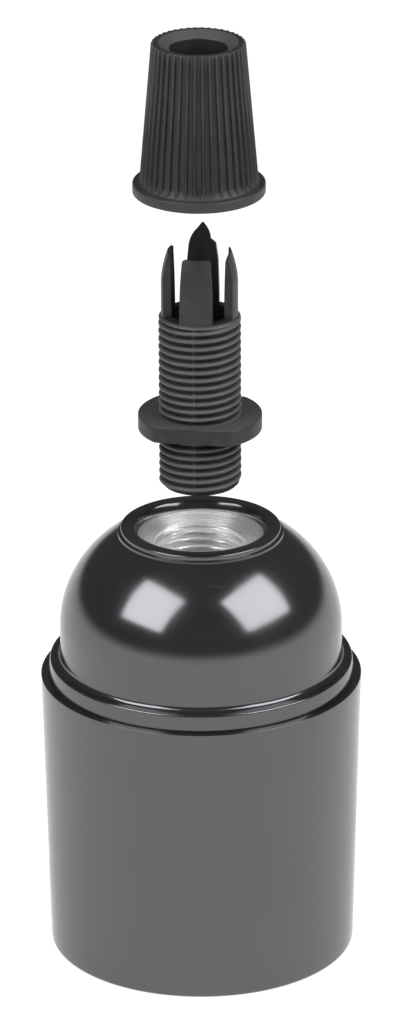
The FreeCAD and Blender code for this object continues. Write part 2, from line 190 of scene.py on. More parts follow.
def rounded(corners, steps=5):
    """A closed half section. Each corner is (radius, height, rounding): an arc tangent to both of its
    sides replaces it, at the distance rounding from the corner, and 0 leaves it sharp as two points."""
    out = []
    count = len(corners)
    for index, (r, z, fillet) in enumerate(corners):
        here = np.array([r, z])
        if fillet <= 0:
            out.append(here)
            continue
        before = np.array(corners[index - 1][:2]) - here
        after = np.array(corners[(index + 1) % count][:2]) - here
        before /= np.linalg.norm(before)
        after /= np.linalg.norm(after)
        t = np.linspace(0, 1, steps + 1)[:, None]
        first = here + before * fillet
        last = here + after * fillet
        out.extend((1 - t) ** 2 * first + 2 * t * (1 - t) * here + t ** 2 * last)
    return np.array(out)


def refined(points, step):
    """A closed half section whose straight sides are divided so that no length is over step, which may
    be a function of the side's middle."""
    out = []
    for first, last in zip(points, np.roll(points, -1, axis=0)):
        length = np.linalg.norm(last - first)
        size = step((first + last) / 2) if callable(step) else step
        pieces = max(1, int(math.ceil(length / size)))
        t = np.arange(pieces)[:, None] / pieces
        out.append(first * (1 - t) + last * t)
    return np.concatenate(out)


def revolve(points, segments, shape=None, turn=0.0):
    """Grid of a half section carried round Z: x = r cos a, y = r sin a. The function shape may change
    (a, r, z) as whole arrays, for threads, flutes and flats."""
    angle = np.arange(segments) / segments * TURN
    a, r = np.meshgrid(angle, points[:, 0])
    z = np.repeat(points[:, 1][:, None], segments, axis=1)
    if shape:
        r, z = shape(a, r, z)
    x = r * np.cos(a + turn)
    y = r * np.sin(a + turn)
    return np.stack([x, y, z], axis=-1).reshape(-1, 3), ring_faces(len(points), segments)


def smooth_step(value, low, high):
    """0 below low, 1 above high, and a smooth rise between."""
    t = np.clip((value - low) / (high - low), 0, 1)
    return t * t * (3 - 2 * t)


def thread_wave(a, z, pitch, crest_share=0.16):
    """How deep a right-hand thread is, 0 on the crest and 1 at the root: a rounded trapezoid of the
    distance to the crest line z = pitch * a / turn."""
    phase = (z / pitch - a / TURN) % 1.0
    from_crest = np.abs(phase - 0.5) * 2
    return smooth_step(1 - from_crest, crest_share, 1.0 - crest_share * 0.8)


# ---------------------------------------------------------------- skirt

def skirt_shape(a, r, z):
    """Lamp thread: r = bore - depth * (1 + cos phase) / 2 on the bore's wall, faded at both ends. The neck
    thread is cut outwards from the upper bore, and the chamber has a flat pocket for each side contact."""
    phase = (z / LAMP_THREAD_PITCH - a / TURN) * TURN
    on_bore = (np.abs(r - LAMP_BORE) < 0.06) & (z < LAMP_BORE_HIGH + 0.01) & (z > LAMP_BORE_LOW - 0.01)
    fade = smooth_step(z, LAMP_BORE_LOW, LAMP_BORE_LOW + LAMP_THREAD_FADE)
    fade = fade * (1 - smooth_step(z, LAMP_BORE_HIGH - LAMP_THREAD_FADE, LAMP_BORE_HIGH))
    lift = LAMP_THREAD_DEPTH * (0.5 + 0.5 * np.cos(phase)) * fade
    r = np.where(on_bore, r - lift, r)
    on_neck = (np.abs(r - NECK_BORE) < 0.02) & (z > NECK_THREAD_LOW)
    wave = thread_wave(a, z, NECK_PITCH, NECK_CREST)
    fade = smooth_step(z, NECK_THREAD_LOW, NECK_THREAD_LOW + 0.6)
    r = np.where(on_neck, r + NECK_GROOVE_IN_SKIRT * wave * fade, r)
    across = np.abs(r * np.cos(a))
    in_pocket = (across < POCKET_HALF) & (r > CHAMBER - 0.01) & (r < CHAMBER + 0.01)
    in_pocket &= (z > LAMP_BORE_HIGH + CHAMBER_FLARE + 0.1) & (z < LEDGE - 0.02)
    reach = (CHAMBER + POCKET_DEPTH) / np.maximum(np.abs(np.sin(a)), 0.5)
    r = np.where(in_pocket, reach, r)
    return r, z


def skirt_piece():
    """The skirt: a drafted tube, its foot and top edges rounded."""
    section = rounded([
        (SKIRT_TOP, SKIRT_HEIGHT, 0.08),
        (NECK_BORE + NECK_CHAMFER, SKIRT_HEIGHT, 0.0),
        (NECK_BORE, SKIRT_HEIGHT - NECK_CHAMFER, 0.0),
        (NECK_BORE, LEDGE, 0.0),
        (CHAMBER, LEDGE, 0.0),
        (CHAMBER, LAMP_BORE_HIGH + CHAMBER_FLARE, 0.0),
        (LAMP_BORE, LAMP_BORE_HIGH, 0.0),
        (LAMP_BORE, LAMP_BORE_LOW, 0.0),
        (MOUTH, LAMP_BORE_LOW - MOUTH_FLARE, 0.0),
        (MOUTH, 0.0, 0.25),
        (SKIRT_FOOT, 0.0, 0.45),
    ])
    section = refined(section, lambda middle: 0.22 if middle[0] < NECK_BORE + 0.3 else 1.2)
    points, faces = revolve(section, MOULDING_SEGMENTS, skirt_shape)
    piece = mesh_piece("skirt_shell", points, faces, "skirt", ["skirt"])
    sharpen(piece, 32)
    return piece


# ---------------------------------------------------------------- dome

def arc_of_ellipse(half_width, rise, first, last, steps):
    """Points of the ellipse r = centre + half_width cos t, z = spring + rise sin t."""
    t = np.linspace(first, last, steps)
    return np.stack([DOME_CENTRE + half_width * np.cos(t), DOME_SPRING + rise * np.sin(t)], axis=-1)


def dome_shape(a, r, z):
    """Neck thread cut inwards from the neck's outside, faded at its two ends."""
    on_neck = (np.abs(r - NECK) < 0.02) & (z < SKIRT_HEIGHT)
    fade = smooth_step(z, NECK_BOTTOM + 0.5, NECK_BOTTOM + 1.0)
    fade = fade * (1 - smooth_step(z, SKIRT_HEIGHT - 0.9, SKIRT_HEIGHT - 0.4))
    groove = NECK_GROOVE_IN_DOME * thread_wave(a, z, NECK_PITCH, NECK_CREST) * fade
    return np.where(on_neck, r - groove, r), z


def dome_piece():
    """The dome cap: neck, step ring, shoulder on an ellipse, collar, seat for the bush, and hollow."""
    half_width = DOME - DOME_CENTRE
    last = math.acos((COLLAR_FOOT - DOME_CENTRE) / half_width)
    shoulder = arc_of_ellipse(half_width, DOME_RISE, 0, last, 56)
    inner_half = NECK_INNER - 0.3 - DOME_CENTRE
    inner_rise = DOME_RISE - DOME_WALL
    inner_last = math.acos((BOSS - DOME_CENTRE) / inner_half)
    hollow = arc_of_ellipse(inner_half, inner_rise, inner_last, 0, 30)
    collar_low = shoulder[-1][1] + 0.3
    lip = BORE + BOSS_HOLE_MARGIN
    seat = BUSH_TOP - BUSH_FLANGE_HEIGHT
    lower = rounded([
        (NECK_INNER, NECK_BOTTOM, 0.0),
        (NECK - 0.5, NECK_BOTTOM, 0.0),
        (NECK, NECK_BOTTOM + 0.5, 0.0),
        (NECK, SKIRT_HEIGHT, 0.0),
        (RING + RING_FOOT_OUT, SKIRT_HEIGHT, 0.06),
        (RING - RING_TOP_IN, RING_TOP, 0.24),
        (DOME, RING_TOP, 0.75),
        (DOME, DOME_SPRING, 0.0),
        (NECK_INNER, DOME_SPRING, 0.0),
    ])[:-2]
    upper = rounded([
        (COLLAR_FOOT, collar_low - 0.3, 0.0),
        (COLLAR_FOOT - 0.05, collar_low - 0.05, 0.0),
        (COLLAR, collar_low + 0.05, 0.0),
        (COLLAR, COLLAR_TOP, 0.24),
        (COLLAR_MOUTH, COLLAR_TOP, 0.16),
        (BUSH_FLANGE, BUSH_TOP, 0.0),
        (BUSH_FLANGE, seat, 0.0),
        (BUSH_BODY, seat, 0.0),
        (BUSH_BODY, BUSH_BOTTOM, 0.0),
        (lip, BUSH_BOTTOM, 0.0),
        (lip, BOSS_BOTTOM, 0.2),
        (BOSS, BOSS_BOTTOM, 0.3),
    ])[1:]
    section = np.concatenate([lower, shoulder, upper, hollow])
    section = refined(section, lambda middle: 0.25 if middle[1] < SKIRT_HEIGHT and middle[0] > 15.8 else 1.0)
    points, faces = revolve(section, MOULDING_SEGMENTS, dome_shape)
    piece = mesh_piece("dome_shell", points, faces, "dome", ["dome_cap"])
    sharpen(piece, 32)
    return piece


# ---------------------------------------------------------------- bush

def bore_thread(low, high, root_depth):
    """A shape function that cuts the cord thread outwards from the bore between two heights. It keeps the
    larger of the wall and the thread, so a funnel or a chamfer trims the first turns."""
    def shape(a, r, z):
        wave = thread_wave(a, z, CORD_PITCH)
        cut = BORE + root_depth * wave
        inside = (r < BORE + root_depth + 0.02) & (z > low) & (z < high) & (r > BORE - 0.02)
        return np.where(inside, np.maximum(r, cut), r), z
    return shape


def bush_piece():
    """The turned bush: narrow land, wide funnel and threaded bore."""
    section = rounded([
        (BUSH_FUNNEL, BUSH_TOP, 0.06),
        (BUSH_FLANGE, BUSH_TOP, 0.05),
        (BUSH_FLANGE, BUSH_TOP - BUSH_FLANGE_HEIGHT, 0.0),
        (BUSH_BODY, BUSH_TOP - BUSH_FLANGE_HEIGHT, 0.0),
        (BUSH_BODY, BUSH_BOTTOM, 0.1),
        (BORE, BUSH_BOTTOM, 0.0),
        (BORE, BUSH_TOP - BUSH_FUNNEL_DEPTH, 0.0),
    ])
    section = refined(section, lambda middle: 0.07 if middle[0] < BORE + 0.9 else 0.4)
    shape = bore_thread(BUSH_BOTTOM + 0.1, BUSH_TOP - 0.3, CORD_DEPTH)
    points, faces = revolve(section, 224, shape)
    piece = mesh_piece("bush_turned", points, faces, "dome", ["top_bush"])
    sharpen(piece, 30)
    return piece


# ---------------------------------------------------------------- nipple

def nipple_thread(a, r, z):
    """Outside thread: r = smaller of the wall, which has the chamfers, and crest - depth * wave ** 1.35,
    a round crest over a narrow root. At the mould's two parting lines the thread is shallower."""
    wave = thread_wave(a, z, CORD_PITCH, 0.06) ** 1.35
    wave = wave * (1 - 0.6 * np.exp(-(np.sin(a - SEAM) * r / SEAM_HALF) ** 2))
    below = (z < FLANGE_LOW - 0.25) & (z > NIPPLE_BOTTOM + 0.05)
    above = (z > FLANGE_HIGH + 0.02) & (z < CROWN - 0.3)
    fade = 1 - smooth_step(z, CROWN - 0.7, CROWN - 0.3)
    fade = np.where(z < FLANGE_HIGH, 1.0, fade)
    cut = CREST - CORD_DEPTH * wave * fade
    outside = (r > 4.1) & (below | above)
    return np.where(outside, np.minimum(r, cut), r), z


def flange_shape(a, r, z):
    """Two flats across the flange: y is held within the half width, less the bevel at the rim."""
    limit = HALF_FLATS - np.clip(FLANGE - r, 0, FLAT_BEVEL)
    y = np.clip(r * np.sin(a), -limit, limit)
    x = r * np.cos(a)
    return np.sqrt(x * x + y * y), z


def corner_loss(drop, corner):
    """Width that a rounded corner takes off at a drop below the top: corner * (1 - sqrt(1 - t^2))."""
    t = np.clip(1 - drop / corner, 0, 1)
    return corner * (1 - np.sqrt(1 - t * t))


def arch_halves(drop):
    """Half widths of the tall finger on its two sides, by (drop, half width): a pointed arch, broken off in
    a step on one side."""
    smooth = [(0, 0.06), (0.7, 0.56), (1.3, 1.08), (1.95, 1.46), (2.6, 1.66), (4.6, 1.85), (9.0, FINGER_HALF)]
    torn = [(0, 0.05), (0.5, 0.42), (1.1, 0.74), (1.66, 0.9), (2.2, 0.96), (2.35, 1.2), (2.66, 1.58)]
    torn += smooth[-2:]
    return tuple(np.interp(drop, *zip(*side)) for side in (smooth, torn))


def finger_surface(length, quarter, corners):
    """One finger as a loft: at each height the section is a sector between the bore and the outer wall,
    cut off square at its half widths. The wall leans in above the shoulder as lean ** 1.8 until it meets
    the bore in a blade, and the half widths close on two rounded corners or on the pointed arch."""
    low = CROWN - 0.6
    high = CROWN + length
    tip_zone = 3.0
    stem_rows = np.linspace(high - low, tip_zone, 14, endpoint=False)
    drop = np.concatenate([stem_rows, tip_zone * (1 - np.sin(np.linspace(0, math.pi / 2, 46)))])
    level = high - drop
    shoulder = CROWN + 0.5 * FINGER_LENGTH
    lean = np.clip((level - shoulder) / (high - shoulder), 0, 1)
    outer = FINGER - (FINGER - FINGER_TIP) * lean ** 1.8
    if corners:
        half = FINGER_HALF + (FINGER_HALF_TOP - FINGER_HALF) * np.clip((level - CROWN) / length, 0, 1) ** 2
        right = half - corner_loss(drop, corners[1])
        left = half - corner_loss(drop, corners[0])
    else:
        right, left = arch_halves(drop)
    outer = outer - 0.6 * corner_loss(drop, FINGER_EDGE)
    across = 15
    t = np.linspace(0, 1, across)
    x = -left[:, None] * (1 - t) + right[:, None] * t
    y_out = -np.sqrt(outer[:, None] ** 2 - x ** 2)
    y_in = -np.sqrt(FINGER_INNER ** 2 - (x * 0.985) ** 2)
    y_in = np.maximum(y_in, y_out + FINGER_EDGE)
    z = np.repeat(level[:, None], across, axis=1)
    grid = np.stack([
        np.concatenate([x, x[:, ::-1]], axis=1),
        np.concatenate([y_out, y_in[:, ::-1]], axis=1),
        np.concatenate([z, z], axis=1),
    ], axis=-1)
    angle = quarter * math.pi / 2 + FINGER_TURN
    x, y = grid[..., 0].copy(), grid[..., 1].copy()
    grid[..., 0] = x * math.cos(angle) - y * math.sin(angle)
    grid[..., 1] = x * math.sin(angle) + y * math.cos(angle)
    count, loop = grid.shape[:2]
    i, j = np.meshgrid(np.arange(count - 1), np.arange(loop), indexing="ij")
    sides = np.stack([
        i * loop + j, i * loop + (j + 1) % loop, (i + 1) * loop + (j + 1) % loop, (i + 1) * loop + j
    ], axis=-1).reshape(-1, 4)
    k = np.arange(across - 1)
    lid = np.stack([k, k + 1, loop - 2 - k, loop - 1 - k], axis=-1)
    faces = np.concatenate([sides, lid[:, ::-1], lid + (count - 1) * loop])
    return grid.reshape(-1, 3), faces


def joined(parts):
    """Several closed surfaces as one list of points and one of faces."""
    points, faces, start = [], [], 0
    for part_points, part_faces in parts:
        points.append(part_points)
        faces.append(outward(part_points, part_faces) + start)
        start += len(part_points)
    return np.concatenate(points), np.concatenate(faces)


def nipple_piece():
    """The nipple: threaded tube, flange with two flats, and four fingers on its crown."""
    tube = rounded([
        (NIPPLE_BORE, NIPPLE_BOTTOM, 0.15),
        (CREST - FOOT_CHAMFER, NIPPLE_BOTTOM, 0.0),
        (CREST, NIPPLE_BOTTOM + FOOT_CHAMFER, 0.0),
        (CREST, CROWN - CROWN_CHAMFER, 0.14),
        (CREST - CROWN_CHAMFER, CROWN, 0.12),
        (NIPPLE_BORE, CROWN, 0.0),
    ])
    tube = refined(tube, lambda middle: 0.075 if middle[0] > 4.2 else 1.0)
    flange = rounded([
        (FLANGE_ROOT, FLANGE_LOW + FLANGE_LIFT, 0.0),
        (FLANGE, FLANGE_LOW + FLANGE_LIFT, 0.16),
        (FLANGE, FLANGE_HIGH, 0.22),
        (FLANGE_ROOT, FLANGE_HIGH, 0.0),
    ])
    flange = refined(flange, 0.5)
    parts = [revolve(tube, 160, nipple_thread), revolve(flange, 320, flange_shape, NIPPLE_TURN)]
    parts.append(finger_surface(FINGER_LENGTH, 0, (0.5, 0.32)))
    parts.append(finger_surface(FINGER_LENGTH, 1, (1.0, 0.3)))
    parts.append(finger_surface(FINGER_LENGTH + TALL_EXTRA, 2, None))
    parts.append(finger_surface(FINGER_LENGTH, 3, (0.4, 0.7)))
    points, faces = joined(parts)
    piece = mesh_piece("nipple_moulding", points, faces, "nipple", ["cord_grip_nipple"])
    sharpen(piece, 34)
    return piece


# ---------------------------------------------------------------- cap

def cap_shape(a, r, z):
    """Flutes on the cone: r = wall - depth * valley(t), where t runs from -1 to 1 from ridge to ridge and
    valley is 1 in the flat middle and 0 on the narrow ridge. The thread is cut outwards from the hollow."""
    foot = CAP_BOTTOM + CAP_FLANGE_HEIGHT
    t = ((a * FLUTES / TURN + 0.5) % 1.0) * 2 - 1
    valley = 1 - smooth_step(np.abs(t), 0.55, 0.98)
    fade = smooth_step(z, foot, foot + 0.9) * smooth_step(r, CAP_HEAD - 0.8, CAP_HEAD - 0.2)
    fade = fade * (1 - 0.45 * smooth_step(z, CAP_TOP - 1.2, CAP_TOP))
    share = np.clip((z - foot) / (CAP_TOP - foot), 0, 1)
    wall = CAP_FOOT + (CAP_HEAD - CAP_FOOT) * share
    on_cone = (r > wall - 0.85) & (z > foot + 0.02)
    r = np.where(on_cone, r - FLUTE_DEPTH * valley * fade, r)
    wave = thread_wave(a, z, CORD_PITCH)
    in_hollow = (np.abs(r - BORE) < 0.02) & (z > CAP_BOTTOM + 0.4)
    thread_top = CAP_BOTTOM + CAP_THREAD_LENGTH
    deep = 1 - smooth_step(z, thread_top, thread_top + 0.7)
    deep = deep * smooth_step(z, CAP_BOTTOM + 0.4, CAP_BOTTOM + 0.6)
    r = np.where(in_hollow, r + CAP_THREAD_DEPTH * wave * deep, r)
    return r, z


def cap_step(middle):
    """Fine rows where the hollow carries the thread and where the flutes run out over the top."""
    on_bore = abs(middle[0] - BORE) < 0.02
    on_lip = middle[1] > CAP_TOP - 0.6 and middle[0] > CAP_LIP
    return 0.13 if on_bore or on_lip else 0.7


def cap_piece():
    """The grip cap: flange, fluted cone with a flared foot, dished top with a smooth lip, hole, hollow."""
    foot = CAP_BOTTOM + CAP_FLANGE_HEIGHT
    squeeze = CAP_BOTTOM + CAP_SQUEEZE
    hole_high = CAP_TOP - CAP_DISH
    section = rounded([
        (BORE + 0.5, CAP_BOTTOM, 0.0),
        (CAP_FLANGE, CAP_BOTTOM, 0.2),
        (CAP_FLANGE, foot, 0.26),
        (CAP_FOOT, foot, 0.3),
        (CAP_HEAD, CAP_TOP, 0.34),
        (CAP_LIP + CAP_LIP_EXTRA, CAP_TOP, 0.25),
        (CAP_HOLE, hole_high - CAP_DISH_EXTRA, 0.15),
        (CAP_HOLE, hole_high - CAP_HOLE_LENGTH, 0.0),
        (BORE, squeeze, 0.0),
        (BORE, CAP_BOTTOM + 0.5, 0.0),
    ])
    section = refined(section, cap_step)
    points, faces = revolve(section, FLUTES * FLUTE_ROWS, cap_shape)
    piece = mesh_piece("cap_moulding", points, faces, "grip_cap", ["cord_grip_cap"])
    sharpen(piece, 40)
    return piece


# ---------------------------------------------------------------- material groups

def new_group(name, inputs, outputs):
    """An empty shader node group with the named sockets, given as (name, kind, value)."""
    group = bpy.data.node_groups.new(name, "ShaderNodeTree")
    for label, kind, value in inputs:
        socket = group.interface.new_socket(name=label, in_out="INPUT", socket_type=kind)
        if value is not None:
            socket.default_value = value
    for label, kind in outputs:
        group.interface.new_socket(name=label, in_out="OUTPUT", socket_type=kind)
    return group, group.nodes.new("NodeGroupInput"), group.nodes.new("NodeGroupOutput")


def maths(tree, operation, first, second=None):
    """A Math node fed by sockets or plain numbers."""
    node = tree.nodes.new("ShaderNodeMath")
    node.operation = operation
    for index, value in enumerate((first, second)):
        if value is None:
            continue
        if isinstance(value, (int, float)):
            node.inputs[index].default_value = value
        else:
            tree.links.new(value, node.inputs[index])
    return node.outputs[0]


def noise(tree, vector, scale, detail, rough):
    """A noise texture on a vector, its scale from a socket and its factor between 0 and 1."""
    node = tree.nodes.new("ShaderNodeTexNoise")
    node.inputs["Detail"].default_value = detail
    node.inputs["Roughness"].default_value = rough
    tree.links.new(vector, node.inputs["Vector"])
    tree.links.new(scale, node.inputs["Scale"])
    return node.outputs["Fac"]


def spread(tree, value, low, high, to_low, to_high):
    """A Map Range node with a smooth rise."""
    node = tree.nodes.new("ShaderNodeMapRange")
    node.interpolation_type = "SMOOTHSTEP"
    for label, number in (("From Min", low), ("From Max", high), ("To Min", to_low), ("To Max", to_high)):
        if isinstance(number, (int, float)):
            node.inputs[label].default_value = number
        else:
            tree.links.new(number, node.inputs[label])
    tree.links.new(value, node.inputs["Value"])
    return node.outputs["Result"]


def by_noise(tree, value, low, high):
    """The usual range of a noise, 0.3 to 0.7, carried to two levels."""
    return spread(tree, value, 0.3, 0.7, low, high)


def from_axis(tree):
    """The distance from the holder's axis and the height, in metres."""
    place = tree.nodes.new("ShaderNodeTexCoord")
    split = tree.nodes.new("ShaderNodeSeparateXYZ")
    tree.links.new(place.outputs["Object"], split.inputs[0])
    x, y, z = split.outputs
    square = maths(tree, "ADD", maths(tree, "MULTIPLY", x, x), maths(tree, "MULTIPLY", y, y))
    return maths(tree, "SQRT", square), z


def moulding_group():
    """Skin of a moulded plastic: slow mottling, fine pores, and height for a bump."""
    group, start, end = new_group(
        "moulded_skin",
        [("Mottle Scale", "NodeSocketFloat", 200.0), ("Pore Scale", "NodeSocketFloat", 2500.0),
         ("Pore Share", "NodeSocketFloat", 0.3)],
        [("Mottle", "NodeSocketFloat"), ("Pores", "NodeSocketFloat"), ("Height", "NodeSocketFloat")],
    )
    place = group.nodes.new("ShaderNodeTexCoord").outputs["Object"]
    slow = noise(group, place, start.outputs["Mottle Scale"], 4.0, 0.6)
    fine = noise(group, place, start.outputs["Pore Scale"], 2.0, 0.5)
    height = maths(group, "ADD", slow, maths(group, "MULTIPLY", fine, start.outputs["Pore Share"]))
    group.links.new(slow, end.inputs["Mottle"])
    group.links.new(fine, end.inputs["Pores"])
    group.links.new(height, end.inputs["Height"])
    return group


def scuff_group():
    """Fine hairline scratches: stretched noise in two directions, kept only at its peaks."""
    group, start, end = new_group(
        "hairline_scuffs",
        [("Scale", "NodeSocketFloat", 90.0), ("Rarity", "NodeSocketFloat", 0.66)],
        [("Scuffs", "NodeSocketFloat")],
    )
    place = group.nodes.new("ShaderNodeTexCoord").outputs["Object"]
    total = None
    for turn, stretch in (((0.4, 0.2, 0.5), (1, 14, 14)), ((1.1, -0.5, 2.0), (1, 18, 18))):
        mapping = group.nodes.new("ShaderNodeMapping")
        mapping.inputs["Rotation"].default_value = turn
        mapping.inputs["Scale"].default_value = stretch
        group.links.new(place, mapping.inputs["Vector"])
        value = noise(group, mapping.outputs["Vector"], start.outputs["Scale"], 2.0, 0.5)
        high = maths(group, "ADD", start.outputs["Rarity"], 0.05)
        lines = spread(group, value, start.outputs["Rarity"], high, 0.0, 1.0)
        total = lines if total is None else maths(group, "MAXIMUM", total, lines)
    group.links.new(total, end.inputs["Scuffs"])
    return group


def tool_ring_group():
    """Turning marks of a lathe: bands of noise that depend on the distance from the axis and the height."""
    group, start, end = new_group(
        "tool_rings",
        [("Fineness", "NodeSocketFloat", 9000.0)],
        [("Rings", "NodeSocketFloat"), ("Broad", "NodeSocketFloat")],
    )
    radius, height = from_axis(group)
    path = maths(group, "ADD", radius, maths(group, "MULTIPLY", height, 0.7))
    join = group.nodes.new("ShaderNodeCombineXYZ")
    group.links.new(path, join.inputs[0])
    rings = noise(group, join.outputs[0], start.outputs["Fineness"], 3.0, 0.7)
    broad = noise(group, join.outputs[0], maths(group, "MULTIPLY", start.outputs["Fineness"], 0.2), 2.0, 0.5)
    group.links.new(rings, end.inputs["Rings"])
    group.links.new(broad, end.inputs["Broad"])
    return group


MOULDED_SKIN = moulding_group()
HAIRLINE_SCUFFS = scuff_group()
TOOL_RINGS = tool_ring_group()


def place_group(tree, group, **values):
    """A group node with its own values. Names use an underscore for a space."""
    node = tree.nodes.new("ShaderNodeGroup")
    node.node_tree = group
    for label, value in values.items():
        node.inputs[label.replace("_", " ")].default_value = value
    return node


def new_material(name, colour, roughness, **sockets):
    """A material with one Principled shader. Plain values are set straight on its sockets."""
    material = bpy.data.materials.new(name)
    material.use_nodes = True
    tree = material.node_tree
    shader = next(node for node in tree.nodes if node.type == "BSDF_PRINCIPLED")
    shader.inputs["Base Color"].default_value = (*colour, 1.0)
    shader.inputs["Roughness"].default_value = roughness
    for label, value in sockets.items():
        shader.inputs[label.replace("_", " ")].default_value = value
    return material, tree, shader


def mixed(tree, factor, first, second):
    """A colour between two colours, each written out or taken from a socket."""
    node = tree.nodes.new("ShaderNodeMix")
    node.data_type = "RGBA"
    for place, colour in ((6, first), (7, second)):
        if isinstance(colour, bpy.types.NodeSocket):
            tree.links.new(colour, node.inputs[place])
        else:
            node.inputs[place].default_value = (*colour, 1.0)
    tree.links.new(factor, node.inputs[0])
    return node.outputs[2]


def bump(tree, shader, height, distance, strength=1.0):
    """A Bump node on a height, feeding the shader's normal."""
    node = tree.nodes.new("ShaderNodeBump")
    node.inputs["Distance"].default_value = distance
    node.inputs["Strength"].default_value = strength
    tree.links.new(height, node.inputs["Height"])
    tree.links.new(node.outputs["Normal"], shader.inputs["Normal"])


def phenolic():
    """Polished black phenolic: a faint flow pattern in colour and gloss, and rare hairlines."""
    dark, light = (0.0105, 0.0105, 0.0118), (0.0140, 0.0140, 0.0155)
    low, high = 0.13, 0.17
    material, tree, shader = new_material("black_phenolic_polished", light, (low + high) / 2, IOR=1.97)
    shader.inputs["Specular Tint"].default_value = (0.955, 0.955, 1.0, 1)
    skin = place_group(tree, MOULDED_SKIN, Mottle_Scale=110.0, Pore_Scale=2600.0, Pore_Share=0.2)
    scuffs = place_group(tree, HAIRLINE_SCUFFS, Scale=60.0, Rarity=0.74)
    colour = mixed(tree, by_noise(tree, skin.outputs["Mottle"], 0.0, 1.0), dark, light)
    tree.links.new(colour, shader.inputs["Base Color"])
    gloss = by_noise(tree, skin.outputs["Mottle"], low, high)
    gloss = maths(tree, "ADD", gloss, maths(tree, "MULTIPLY", scuffs.outputs["Scuffs"], 0.08))
    tree.links.new(gloss, shader.inputs["Roughness"])
    bump(tree, shader, skin.outputs["Height"], 0.00001, 0.3)
    return material


def nylon(name, dark, light, pale, bore, painted_highlights):
    """Matte black nylon: grainy and uneven in gloss, with painted shade darkening the bore and painted
    highlights that make chosen places pale. The bore is in millimetres. The last argument is a function
    that gives where the highlights are painted, from the radius and the height in metres."""
    material, tree, shader = new_material(name, light, 0.5)
    shader.inputs["Specular IOR Level"].default_value = 0.36
    skin = place_group(tree, MOULDED_SKIN, Mottle_Scale=500.0, Pore_Scale=6000.0, Pore_Share=0.8)
    colour = mixed(tree, by_noise(tree, skin.outputs["Mottle"], 0.0, 1.0), dark, light)
    radius, height = from_axis(tree)
    # Painted highlight: the pale colour goes where the last argument says, standing in for light catching
    # crests, ridges and upward faces.
    colour = mixed(tree, painted_highlights(tree, radius, height), colour, pale)
    # Painted shade: within the bore's radius the colour is darkened to 0.4 of the dark tone, standing in for
    # the shade in the hole.
    on_bore = spread(tree, radius, bore * MM, (bore + 0.2) * MM, 1.0, 0.0)
    colour = mixed(tree, on_bore, colour, [0.4 * part for part in dark])
    tree.links.new(colour, shader.inputs["Base Color"])
    tree.links.new(by_noise(tree, skin.outputs["Pores"], 0.42, 0.58), shader.inputs["Roughness"])
    bump(tree, shader, skin.outputs["Height"], 0.00004, 0.35)
    return material


def nipple_painted_highlights(tree, radius, height):
    """Painted highlights on the thread crests, and painted top light on the upper face of the flange."""
    crest = spread(tree, radius, (CREST - 0.42) * MM, (CREST - 0.04) * MM, 0.0, 1.0)
    within_crest = spread(tree, radius, (CREST + 0.01) * MM, (CREST + 0.1) * MM, 1.0, 0.0)
    face = spread(tree, height, (FLANGE_HIGH - 0.08) * MM, (FLANGE_HIGH - 0.01) * MM, 0.0, 0.7)
    below_face = spread(tree, height, FLANGE_HIGH * MM, (FLANGE_HIGH + 0.05) * MM, 1.0, 0.0)
    crest = maths(tree, "MULTIPLY", crest, within_crest)
    return maths(tree, "MAXIMUM", crest, maths(tree, "MULTIPLY", face, below_face))


def cap_painted_highlights(tree, radius, height):
    """Painted highlights on the ridges, measured inwards from the cone that they lie on, and painted top
    light on the dish.
    """
    foot = CAP_BOTTOM + CAP_FLANGE_HEIGHT
    wall = spread(tree, height, foot * MM, CAP_TOP * MM, CAP_FOOT * MM, CAP_HEAD * MM)
    depth = maths(tree, "SUBTRACT", wall, radius)
    ridge = spread(tree, depth, 0.03 * MM, 0.26 * MM, 0.72, 0.0)
    ridge = maths(tree, "MULTIPLY", ridge, spread(tree, height, foot * MM, (foot + 1.6) * MM, 0.32, 1.0))
    dish = spread(tree, height, (CAP_TOP - 0.9) * MM, (CAP_TOP - 0.7) * MM, 0.0, 0.9)
    dish = maths(tree, "MULTIPLY", dish, spread(tree, depth, 0.75 * MM, 0.95 * MM, 0.0, 1.0))
    return maths(tree, "MAXIMUM", ridge, dish)


def bright_metal():
    """Bright turned metal: tool rings in height and gloss, a few nicks."""
    material, tree, shader = new_material("bush_bright_metal", (0.9, 0.9, 0.9), 0.3, Metallic=0.75)
    rings = place_group(tree, TOOL_RINGS, Fineness=7000.0)
    skin = place_group(tree, MOULDED_SKIN, Mottle_Scale=900.0, Pore_Scale=2600.0, Pore_Share=0.3)
    band = by_noise(tree, rings.outputs["Broad"], 0.0, 1.0)
    colour = mixed(tree, band, (0.84, 0.84, 0.84), (0.96, 0.96, 0.96))
    tree.links.new(colour, shader.inputs["Base Color"])
    tree.links.new(by_noise(tree, rings.outputs["Rings"], 0.22, 0.36), shader.inputs["Roughness"])
    height = maths(tree, "ADD", rings.outputs["Rings"], maths(tree, "MULTIPLY", skin.outputs["Height"], 0.5))
    bump(tree, shader, height, 0.00006, 0.8)
    return material


def metal(name, dark, light, low, high):
    """Rolled or plated metal in two near tones with uneven gloss and hairlines."""
    material, tree, shader = new_material(name, light, (low + high) / 2, Metallic=1.0)
    skin = place_group(tree, MOULDED_SKIN, Mottle_Scale=400.0, Pore_Scale=3000.0, Pore_Share=0.4)
    scuffs = place_group(tree, HAIRLINE_SCUFFS, Scale=160.0, Rarity=0.62)
    colour = mixed(tree, by_noise(tree, skin.outputs["Mottle"], 0.0, 1.0), dark, light)
    tree.links.new(colour, shader.inputs["Base Color"])
    gloss = by_noise(tree, skin.outputs["Pores"], low, high)
    gloss = maths(tree, "ADD", gloss, maths(tree, "MULTIPLY", scuffs.outputs["Scuffs"], 0.15))
    tree.links.new(gloss, shader.inputs["Roughness"])
    bump(tree, shader, skin.outputs["Height"], 0.00002, 0.5)
    return material


